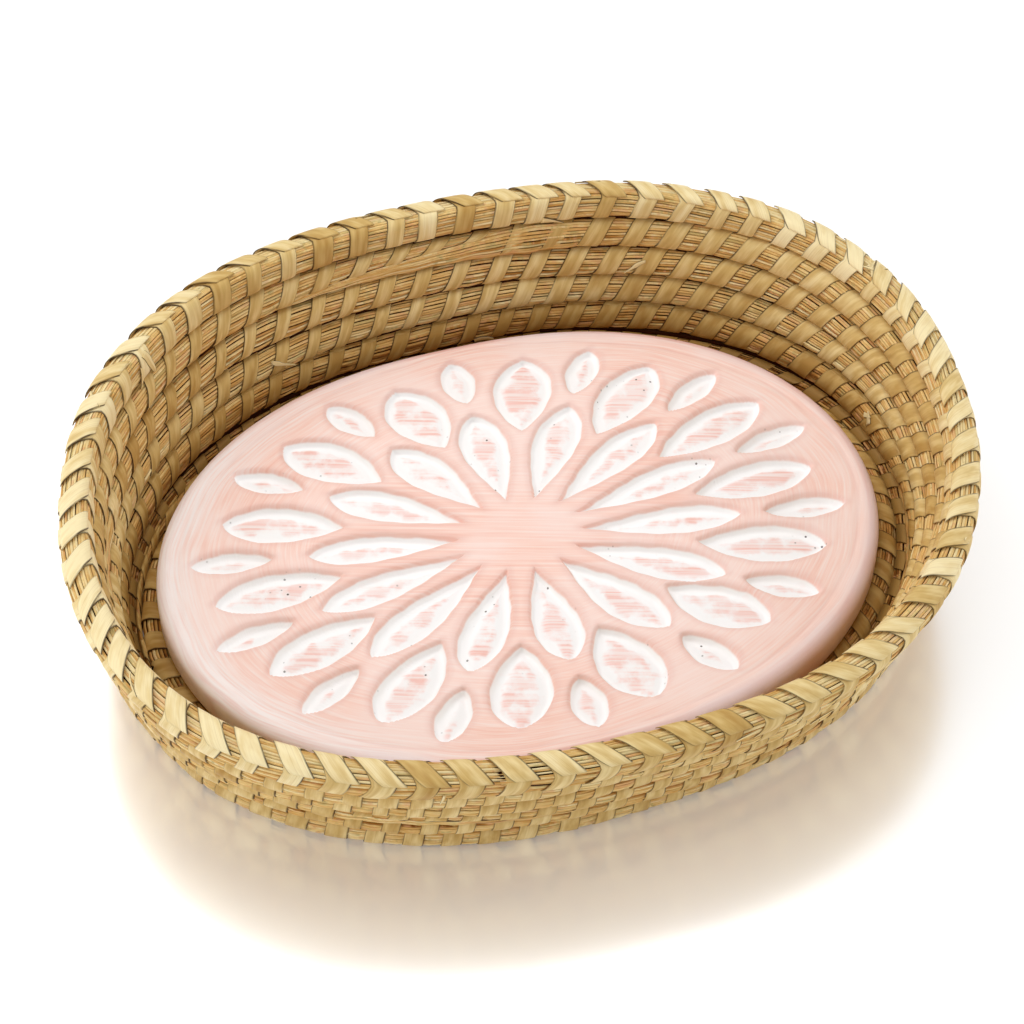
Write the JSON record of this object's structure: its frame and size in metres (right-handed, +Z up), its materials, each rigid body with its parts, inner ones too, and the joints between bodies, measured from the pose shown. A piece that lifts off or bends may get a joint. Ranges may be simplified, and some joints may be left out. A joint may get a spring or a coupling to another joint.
{
  "type": "bread warmer basket",
  "caption": "Oval coiled grass basket with a lashed rim and a loose carved terracotta stone that is heated and laid under bread to keep it warm.",
  "frame": {"origin": "on the floor under the middle of the basket's oval, at the flat underside of the base coil", "axes": "+X along the long axis of the oval, +Y along its short axis, +Z up"},
  "size_m": [0.3032, 0.2446, 0.0698],
  "materials": {
    "grass": "dry grass stems, matt",
    "palm_strip": "dry palm leaf, satin",
    "terracotta": "unglazed, matt, whitened in the carving"
  },
  "bodies": {
    "basket": {"base_coil": "grass", "wall_course_1": "grass", "wall_course_2": "grass", "wall_course_3": "grass", "wall_course_4": "grass", "wall_course_5": "grass", "rim_bundle": "grass", "rim_strip_1": "palm_strip", "rim_strip_2": "palm_strip", "rim_strip_3": "palm_strip", "rim_strip_4": "palm_strip", "rim_strip_5": "palm_strip", "rim_strip_6": "palm_strip", "rim_strip_7": "palm_strip", "rim_strip_8": "palm_strip"},
    "stone": {"warming_stone": "terracotta"}
  },
  "joints": [
    {"name": "stone_lift", "type": "slide", "parent": "basket", "child": "stone", "axis": [0, 0, 1], "range_m": [0, 0.12]}
  ]
}
